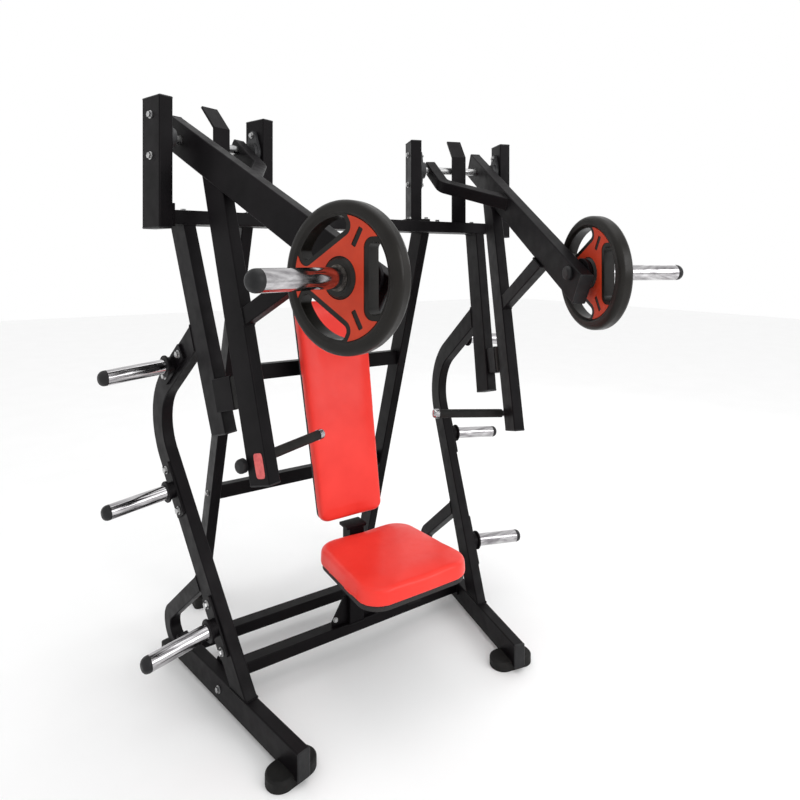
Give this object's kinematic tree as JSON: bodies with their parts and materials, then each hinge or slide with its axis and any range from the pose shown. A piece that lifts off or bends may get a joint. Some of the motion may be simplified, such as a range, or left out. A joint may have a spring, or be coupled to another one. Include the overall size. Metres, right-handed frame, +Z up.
{
  "type": "chest press machine",
  "caption": "Plate-loaded chest press with two independent converging arms, adjustable seat, angled backrest, storage horns and loaded weight plates",
  "frame": {"origin": "on the floor, under the middle of the machine's outer box", "axes": "+Z up, -Y is the way the seated user faces, +X is the seated user's left"},
  "size_m": [1.7144, 1.6417, 1.953],
  "materials": {
    "frame_paint": "satin black powder coat",
    "upholstery": "smooth glossy red vinyl",
    "pad_board": "plywood board covered in black cloth",
    "chrome_tube": "polished chrome plate",
    "bright_steel": "zinc plated and turned steel",
    "black_rubber": "matt moulded rubber",
    "plate_rubber": "smooth urethane rubber",
    "plate_insert": "satin red rubber",
    "black_plastic": "moulded black plastic",
    "bearing_iron": "black painted casting"
  },
  "bodies": {
    "frame": {"backrest_board": "pad_board", "backrest_brackets": "frame_paint", "backrest_pad": "upholstery", "base_rails": "frame_paint", "bearing_housings": "bearing_iron", "bumper_pads": "black_rubber", "columns": "frame_paint", "end_caps": "black_plastic", "feet": "black_rubber", "flag_plates": "frame_paint", "frame_bolts": "bright_steel", "front_base_crossbar": "frame_paint", "inner_posts": "frame_paint", "joint_plates": "frame_paint", "left_rear_loop": "frame_paint", "left_side_upright": "frame_paint", "lower_back_crossbar": "frame_paint", "outer_posts": "frame_paint", "rear_base_crossbar": "frame_paint", "rear_uprights": "frame_paint", "right_rear_loop": "frame_paint", "right_side_upright": "frame_paint", "seat_mast": "frame_paint", "storage_horn_bases": "frame_paint", "storage_horns": "chrome_tube", "top_beam": "frame_paint", "upper_back_crossbar": "frame_paint"},
    "left_arm": {"left_pivot_shaft": "bright_steel", "left_lever": "frame_paint", "left_press_tube": "frame_paint", "left_arm_brace": "frame_paint", "left_link_tube": "frame_paint", "left_weight_horn": "chrome_tube", "left_horn_flange": "frame_paint", "left_handle_bar": "chrome_tube", "left_handle_grip": "black_rubber", "left_handle_collar": "chrome_tube", "left_arm_caps": "black_plastic"},
    "left_plate": {"left_plate_rubber": "plate_rubber", "left_plate_inserts": "plate_insert", "left_plate_hub": "bright_steel"},
    "right_arm": {"right_pivot_shaft": "bright_steel", "right_lever": "frame_paint", "right_press_tube": "frame_paint", "right_arm_brace": "frame_paint", "right_link_tube": "frame_paint", "right_weight_horn": "chrome_tube", "right_horn_flange": "frame_paint", "right_handle_bar": "chrome_tube", "right_handle_grip": "black_rubber", "right_handle_collar": "chrome_tube", "right_arm_caps": "black_plastic"},
    "right_plate": {"right_plate_rubber": "plate_rubber", "right_plate_inserts": "plate_insert", "right_plate_hub": "bright_steel"},
    "seat": {"seat_carriage": "frame_paint", "seat_board": "pad_board", "seat_pad": "upholstery"},
    "pull_pin": {"pull_pin": "bright_steel", "pull_knob": "black_plastic"}
  },
  "joints": [
    {"name": "left_arm_swing", "type": "hinge", "parent": "frame", "child": "left_arm", "pos_m": [0.51194, 0.15455, 1.82], "axis": [-0.9426, 0.3338, 0], "range_deg": [0, 45]},
    {"name": "right_arm_swing", "type": "hinge", "parent": "frame", "child": "right_arm", "pos_m": [-0.51194, 0.15455, 1.82], "axis": [-0.9426, -0.3338, 0], "range_deg": [0, 45]},
    {"name": "left_plate_slide", "type": "slide", "parent": "left_arm", "child": "left_plate", "axis": [0.9426, -0.3338, 0], "range_m": [0, 0.264]},
    {"name": "right_plate_slide", "type": "slide", "parent": "right_arm", "child": "right_plate", "axis": [-0.9426, -0.3338, 0], "range_m": [-0.044, 0.22]},
    {"name": "seat_height", "type": "slide", "parent": "frame", "child": "seat", "axis": [0, 0, 1], "range_m": [0, 0.08]},
    {"name": "pull_pin_slide", "type": "slide", "parent": "seat", "child": "pull_pin", "axis": [1, 0, 0], "range_m": [0, 0.015], "stiffness_N_per_m": 600, "springref_m": -0.005}
  ]
}
